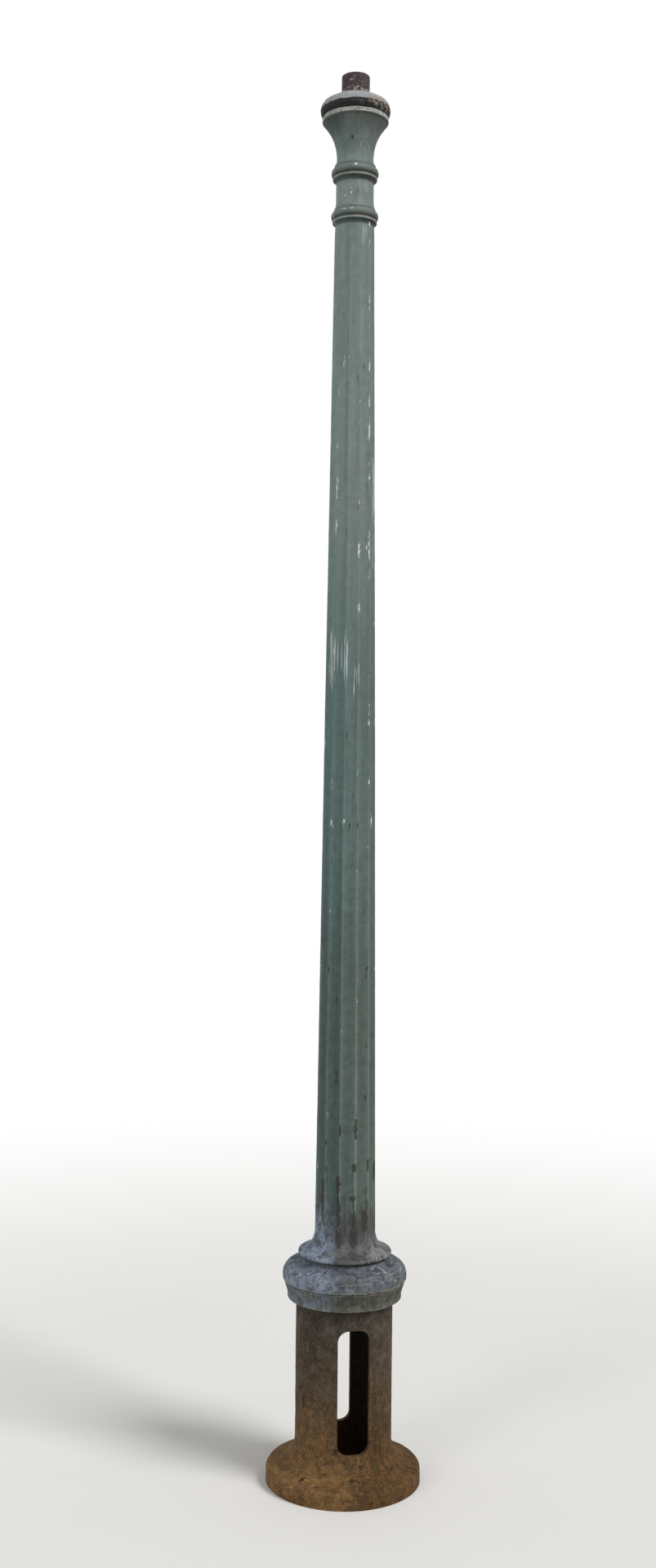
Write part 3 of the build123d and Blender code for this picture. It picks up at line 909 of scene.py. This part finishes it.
def cap_material():
    """Dark rust, pale over the crown, with pale paint flakes that hang on at one side."""
    m = Material("cap_iron")
    fine = m.cloud(0.006, detail=5, roughness=0.7, seed=21)
    color = m.blend(srgb(51, 48, 46), srgb(30, 29, 29), m.step(fine, 0.4, 0.62))
    flake = m.cloud(0.014, detail=6, roughness=0.75, seed=22)
    crown = m.step(m.added(m.z, flake, 14 * MM), CAP_TOP_Z - 19 * MM, CAP_TOP_Z - 16 * MM)
    right = m.side_step(0.0, 0.05)
    low_flakes = m.overlap(right, m.step(flake, 0.515, 0.56))
    pale = m.either(m.overlap(crown, m.step(flake, 0.34, 0.39)), low_flakes)
    pale_color = m.varied(srgb(164, 165, 168), m.step(fine, 0.35, 0.62), 1.06, 0.78)
    low = m.height_step(CAP_TOP_Z - 12 * MM, CAP_TOP_Z - 20 * MM)
    pale_color = m.blend(pale_color, srgb(146, 134, 120), m.overlap(right, low))
    color = m.blend(color, pale_color, m.overlap(pale, 0.92))
    # Painted shade under overhangs and on faces that look down
    color = m.varied(color, m.worn("under_shade"), 1.0, 0.55)
    roughness = m.between(0.65, 0.9, fine)
    normal = m.bump(pale, 0.3 * MM, m.bump(fine, 0.4 * MM))
    return m.finish(color, roughness, normal)


def spigot_material():
    """Grey-brown rust, with flakes of old paint round the lower half."""
    m = Material("pipe_iron")
    fine = m.cloud(0.005, detail=5, roughness=0.7, seed=31)
    color = m.blend(srgb(80, 71, 74), srgb(48, 40, 40), m.step(fine, 0.4, 0.62))
    flake = m.cloud(0.011, detail=6, roughness=0.7, seed=32)
    collar = m.height_step(CAP_TOP_Z + 40 * MM, CAP_TOP_Z + 6 * MM)
    outside = m.step(m.radius(), PIPE_R - 3 * MM, PIPE_R - 2 * MM)
    flakes = m.overlap(m.step(m.added(flake, collar, 0.16), 0.60, 0.64), outside)
    color = m.blend(color, srgb(160, 152, 142), m.overlap(flakes, 0.8))
    roughness = m.between(0.7, 0.92, fine)
    normal = m.bump(flakes, 0.3 * MM, m.bump(fine, 0.4 * MM))
    return m.finish(color, roughness, normal)


# Wear that the skins carry

# Marks, each with the degrees round to the right from the photograph's view, the height in metres,
# and half the width and half the height in millimetres. Most lie on the flutes' edges, at 19
# degrees and every 30 more.
PALE_CHIPS = (
    (49, 2.884, 3, 26), (49, 2.725, 3, 30), (49, 2.643, 3, 28), (49, 2.573, 4, 36),
    (49, 2.459, 4, 18), (-26, 2.734, 3, 15), (-41, 2.532, 4, 10), (-41, 2.430, 5, 36),
    (-41, 2.336, 4, 26), (19, 2.278, 4, 20), (43, 2.292, 5, 9), (19, 2.138, 4, 14),
    (-41, 2.030, 3, 10), (49, 1.888, 2, 24), (49, 1.855, 4, 16), (49, 1.716, 4, 11),
    (64, 1.620, 4, 22), (-11, 1.614, 5, 13), (-41, 1.612, 5, 14), (-11, 1.105, 3, 12),
    (-31, 3.145, 3, 4), (-9, 3.150, 3, 5), (-10, 3.161, 3, 3), (-26, 3.108, 8, 2),
    (-7, 3.108, 6, 2), (1, 3.216, 7, 5),
)
SCUFFS = (
    (-48, 2.015, 20, 84), (-14, 2.015, 9, 84), (14, 1.965, 8, 50), (35, 3.168, 18, 20),
    (32, 3.048, 14, 34), (34, 3.268, 16, 30), (-70, 3.100, 14, 90), (80, 2.400, 12, 260),
    (120, 2.050, 24, 120), (-150, 1.800, 18, 160), (170, 2.700, 14, 140),
)
RUST_CHIPS = (
    (13, 0.914, 3, 4), (20, 0.872, 5, 27), (-11, 0.870, 4, 16), (17, 0.778, 6, 12),
    (42, 0.945, 3, 8), (-15, 0.740, 7, 24), (-13, 0.670, 6, 46), (14, 0.704, 9, 6),
    (17, 0.655, 5, 26), (41, 0.645, 9, 30), (16, 0.612, 13, 30), (-12, 0.610, 8, 26),
    (-52, 0.700, 9, 62), (-8, 3.283, 5, 4), (2, 1.600, 3, 7), (19, 1.600, 3, 6),
    (-42, 1.253, 3, 10), (44, 1.255, 3, 12), (-22, 1.190, 3, 6), (-21, 1.000, 3, 26),
    (44, 1.066, 3, 7), (48, 0.780, 3, 20), (-43, 0.840, 3, 16), (76, 0.760, 5, 26),
    (-75, 0.900, 4, 22), (140, 0.690, 9, 30), (168, 0.810, 5, 22), (-128, 0.650, 10, 36),
    (-101, 0.760, 5, 18), (109, 0.640, 9, 24), (-160, 0.905, 4, 18), (199, 0.625, 12, 22),
)
ROOT_PITS = (
    (76, 0.042, 4, 11), (38, 0.036, 5, 4), (-20, 0.060, 6, 4), (8, 0.052, 7, 3),
    (21, 0.075, 8, 5), (-38, 0.046, 7, 3), (-9, 0.110, 6, 9), (62, 0.150, 5, 14),
    (-55, 0.210, 6, 18), (150, 0.050, 8, 4), (-140, 0.120, 6, 12), (110, 0.260, 5, 20),
)

EDGE_CHIP_COLUMNS = 3           # chips along a flute's edge take up this many of its columns
EDGE_CHIP_LENGTH = 28 * MM
EDGE_CHIP_STRETCH = 0.4         # length of the stretches with more or fewer chips
# How much the noise of the chips and that of the stretches count, and the sum that makes a chip
EDGE_CHIP_WEIGHT = 1.6
STRETCH_WEIGHT = 0.9
EDGE_CHIP_LEVEL = 0.6


def round_from(place, turn):
    """Angle from a turn round to a place, from -pi to pi."""
    return (atan2(place.y, place.x) - turn + pi) % tau - pi


def mark_strength(place, marks):
    """1 in the middle of a mark, 0 at its edge and beyond."""
    strength = 0
    for degrees_right, height, half_width, half_height in marks:
        along = (place.z - height) / (half_height * MM)
        if abs(along) < 1:
            off = round_from(place, VIEW_BEARING + radians(degrees_right))
            across = place.xy.length * off / (half_width * MM)
            strength = max(strength, 1 - across ** 2 - along ** 2)
    return strength


def flute_share(place):
    """0 in the middle of a flute, up to 1 on its edges."""
    share = round_from(place, ARRIS_TURN) * FLUTES / tau % 1
    return abs(share * 2 - 1)


def edge_chips(place):
    """Small chips along every flute edge, each edge with its own."""
    flute_edge = round(round_from(place, ARRIS_TURN) * FLUTES / tau)
    off = (1 - flute_share(place)) * COLUMNS_A_FLUTE / EDGE_CHIP_COLUMNS
    along = noise.noise(Vector((flute_edge * 5.3, 0.5, place.z / EDGE_CHIP_LENGTH)))
    often = noise.noise(Vector((flute_edge * 3.1, 4.5, place.z / EDGE_CHIP_STRETCH)))
    strength = along * EDGE_CHIP_WEIGHT + often * STRETCH_WEIGHT - EDGE_CHIP_LEVEL
    return max(0, strength) * max(0, 1 - off ** 2)


def wear_shaft(skin):
    """Gives the shaft's skin its chips, its scuffs, its rust and its nearness to a flute's edge."""
    wear = {"chip": [], "scuff": [], "rust": [], "arris": []}
    for vert in skin.data.vertices:
        place = vert.co
        fluted = FLUTE_LOW_Z < place.z < FLUTE_TOP_Z
        on_edge = edge_chips(place) if fluted else 0
        wear["chip"].append(max(mark_strength(place, PALE_CHIPS), on_edge))
        wear["scuff"].append(mark_strength(place, SCUFFS))
        wear["rust"].append(mark_strength(place, RUST_CHIPS))
        wear["arris"].append(flute_share(place) if fluted else 0.5)
    for name, values in wear.items():
        carry(skin.data, name, values)


def wear_root(skin):
    """Gives the root's skin its deeper pits."""
    carry(skin.data, "rust", [mark_strength(vert.co, ROOT_PITS) for vert in skin.data.vertices])


# Building, light and camera

def dress(skin, node, material):
    """Puts a skin in the place of its CAD node."""
    skin.data.materials.clear()
    skin.data.materials.append(material)
    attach(skin, "root")
    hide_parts(node)


def seen_share(tree):
    """1 for the rays that show the white room, straight or in gloss and glass, and 0 for light."""
    path = tree.nodes.new("ShaderNodeLightPath")
    share = path.outputs["Is Camera Ray"]
    for name in ("Is Glossy Ray", "Is Transmission Ray"):
        either = tree.nodes.new("ShaderNodeMath")
        either.operation = "MAXIMUM"
        tree.links.new(share, either.inputs[0])
        tree.links.new(path.outputs[name], either.inputs[1])
        share = either.outputs[0]
    return share


def add_floor():
    """Pale floor that holds the column's shadow and fades into the white room."""
    corners = [(-1, -1), (1, -1), (1, 1), (-1, 1)]
    verts = [(x * FLOOR_HALF, y * FLOOR_HALF, 0) for x, y in corners]
    mesh = bpy.data.meshes.new("studio_floor")
    mesh.from_pydata(verts, [], [(0, 1, 2, 3)])
    studio_floor = add_object("studio_floor", mesh)
    m = Material("floor_card")
    color = m.blend(srgb(232, 231, 228), srgb(226, 225, 222), m.cloud(0.5, seed=41))
    mesh.materials.append(m.finish(color, 0.9, m.bump(m.cloud(0.004, seed=42), 0.05 * MM)))
    far = m.step(m.vector("LENGTH", m.place, output="Value"), FLOOR_NEAR, FLOOR_FAR)
    white = m.add("ShaderNodeEmission", Color=(1, 1, 1, 1), Strength=1.0)
    fade = m.add("ShaderNodeMixShader")
    m.feed(fade.inputs[0], m.overlap(far, seen_share(m.tree)))
    m.feed(fade.inputs[1], m.shader.outputs[0])
    m.feed(fade.inputs[2], white.outputs[0])
    m.feed(m.tree.nodes["Material Output"].inputs["Surface"], fade.outputs[0])


def add_sun(name, strength, turn, rise):
    """Broad soft lamp, from an angle round from the camera and one above the floor."""
    lamp = bpy.data.lights.new(name, "SUN")
    lamp.energy = strength
    lamp.angle = SUN_SPREAD
    holder = add_object(name, lamp)
    direction = ray(VIEW_BEARING + turn) * cos(rise) + Vector((0, 0, sin(rise)))
    holder.rotation_euler = direction.to_track_quat("Z", "Y").to_euler()


def add_sky():
    """White studio room: plain white behind the column, softer as light."""
    world = bpy.data.worlds.new("studio")
    world.use_nodes = True
    tree = world.node_tree
    backdrop = tree.nodes["Background"]
    backdrop.inputs["Color"].default_value = (1, 1, 1, 1)
    strength = tree.nodes.new("ShaderNodeMapRange")
    tree.links.new(seen_share(tree), strength.inputs["Value"])
    strength.inputs["To Min"].default_value = SKY_STRENGTH
    strength.inputs["To Max"].default_value = 1.0
    tree.links.new(strength.outputs["Result"], backdrop.inputs["Strength"])
    bpy.context.scene.world = world


def add_camera():
    """Camera where the photograph was taken from."""
    data = bpy.data.cameras.new("photo_camera")
    data.sensor_width = SENSOR_MM
    data.lens = SENSOR_MM * FOCAL_PX / IMAGE_H
    data.shift_y = (HORIZON_Y_PX - IMAGE_H / 2) / IMAGE_H
    data.clip_end = CLIP_END
    camera = add_object("photo_camera", data)
    post_offset = atan2(POST_X_PX - IMAGE_W / 2, FOCAL_PX)
    place = Vector(NEAR_SIDE) * CAMERA_DISTANCE + Vector((0, 0, CAMERA_HEIGHT))
    turn = Matrix.Rotation(post_offset - VIEW_TURN, 4, "Z")
    level = Matrix.Rotation(pi / 2, 4, "X")
    roll = Matrix.Rotation(CAMERA_ROLL, 4, "Z")
    camera.matrix_world = Matrix.Translation(place) @ turn @ level @ roll
    bpy.context.scene.camera = camera


bpy.context.scene.view_settings.view_transform = "Standard"
shaft = shaft_skin()
wear_shaft(shaft)
dress(shaft, "shaft_casting", paint_material())
root = root_skin()
wear_root(root)
dress(root, "root_casting", root_material())
dress(cap_skin(), "cap_ring", cap_material())
dress(spigot_skin(), "spigot", spigot_material())
add_floor()
add_sky()
add_sun("key_light", KEY_STRENGTH, KEY_TURN, KEY_RISE)
add_sun("fill_light", FILL_STRENGTH, FILL_TURN, FILL_RISE)
add_camera()
